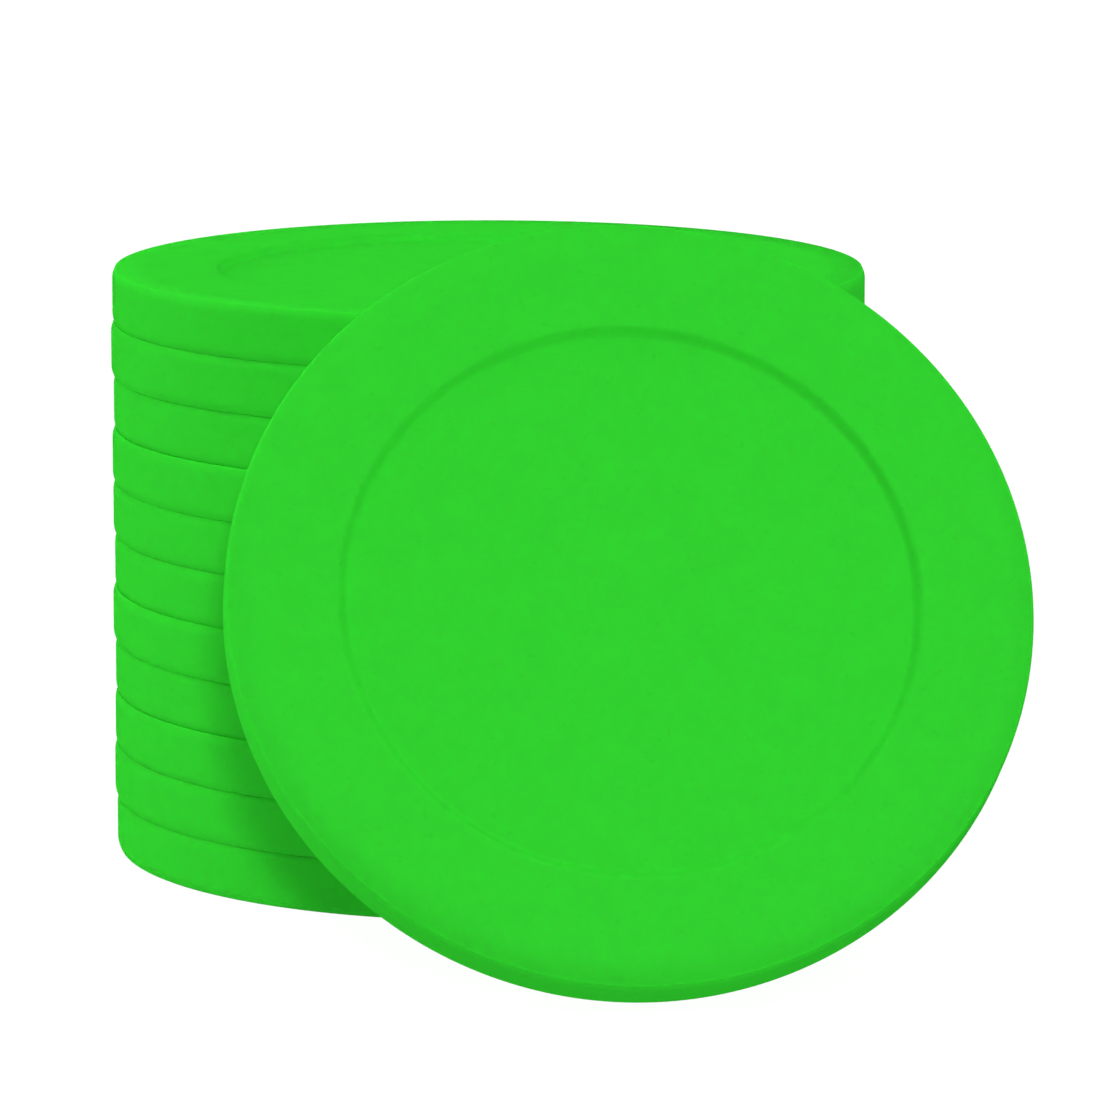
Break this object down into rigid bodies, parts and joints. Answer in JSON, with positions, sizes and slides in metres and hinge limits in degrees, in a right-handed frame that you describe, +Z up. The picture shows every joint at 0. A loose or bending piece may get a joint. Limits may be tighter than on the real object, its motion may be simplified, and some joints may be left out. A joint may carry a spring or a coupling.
{
  "type": "air hockey puck set",
  "caption": "Loose flat round plastic pucks, each with a broad raised rim band around a shallow recess on both faces, stacked flat with a further puck leaning on the stack.",
  "frame": {"origin": "middle of the whole set's footprint, on the plane it stands on", "axes": "+Z up along the stack; the leaning puck stands on the -Y side of the stack and faces -Y, tilted back 30 degrees; +X to its right as seen from the front"},
  "size_m": [0.0746, 0.0952, 0.0567],
  "materials": {
    "puck_plastic": "matte moulded plastic, one even bright green through and through, faintly mottled"
  },
  "bodies": {
    "puck_01": {"puck_01": "puck_plastic"},
    "puck_02": {"puck_02": "puck_plastic"},
    "puck_03": {"puck_03": "puck_plastic"},
    "puck_04": {"puck_04": "puck_plastic"},
    "puck_05": {"puck_05": "puck_plastic"},
    "puck_06": {"puck_06": "puck_plastic"},
    "puck_07": {"puck_07": "puck_plastic"},
    "puck_08": {"puck_08": "puck_plastic"},
    "puck_09": {"puck_09": "puck_plastic"},
    "puck_10": {"puck_10": "puck_plastic"},
    "puck_11": {"puck_11": "puck_plastic"},
    "leaning_puck": {"leaning_puck": "puck_plastic"}
  },
  "joints": [
    {"name": "puck_02_lift", "type": "slide", "parent": "puck_01", "child": "puck_02", "axis": [0, 0.6428, 0.766], "range_m": [0, 0.008]},
    {"name": "puck_03_lift", "type": "slide", "parent": "puck_02", "child": "puck_03", "axis": [0, 0.6428, 0.766], "range_m": [0, 0.008]},
    {"name": "puck_04_lift", "type": "slide", "parent": "puck_03", "child": "puck_04", "axis": [0, 0.6428, 0.766], "range_m": [0, 0.008]},
    {"name": "puck_05_lift", "type": "slide", "parent": "puck_04", "child": "puck_05", "axis": [0, 0.6428, 0.766], "range_m": [0, 0.008]},
    {"name": "puck_06_lift", "type": "slide", "parent": "puck_05", "child": "puck_06", "axis": [0, 0.6428, 0.766], "range_m": [0, 0.008]},
    {"name": "puck_07_lift", "type": "slide", "parent": "puck_06", "child": "puck_07", "axis": [0, 0.6428, 0.766], "range_m": [0, 0.008]},
    {"name": "puck_08_lift", "type": "slide", "parent": "puck_07", "child": "puck_08", "axis": [0, 0.6428, 0.766], "range_m": [0, 0.008]},
    {"name": "puck_09_lift", "type": "slide", "parent": "puck_08", "child": "puck_09", "axis": [0, 0.6428, 0.766], "range_m": [0, 0.008]},
    {"name": "puck_10_lift", "type": "slide", "parent": "puck_09", "child": "puck_10", "axis": [0, 0.6428, 0.766], "range_m": [0, 0.008]},
    {"name": "puck_11_lift", "type": "slide", "parent": "puck_10", "child": "puck_11", "axis": [0, 0.6428, 0.766], "range_m": [0, 0.008]},
    {"name": "leaning_puck_tip", "type": "hinge", "parent": "puck_01", "child": "leaning_puck", "pos_m": [0.00686, -0.04641, 0.0015], "axis": [0.9969, 0.0785, 0], "range_deg": [0, 120]}
  ]
}
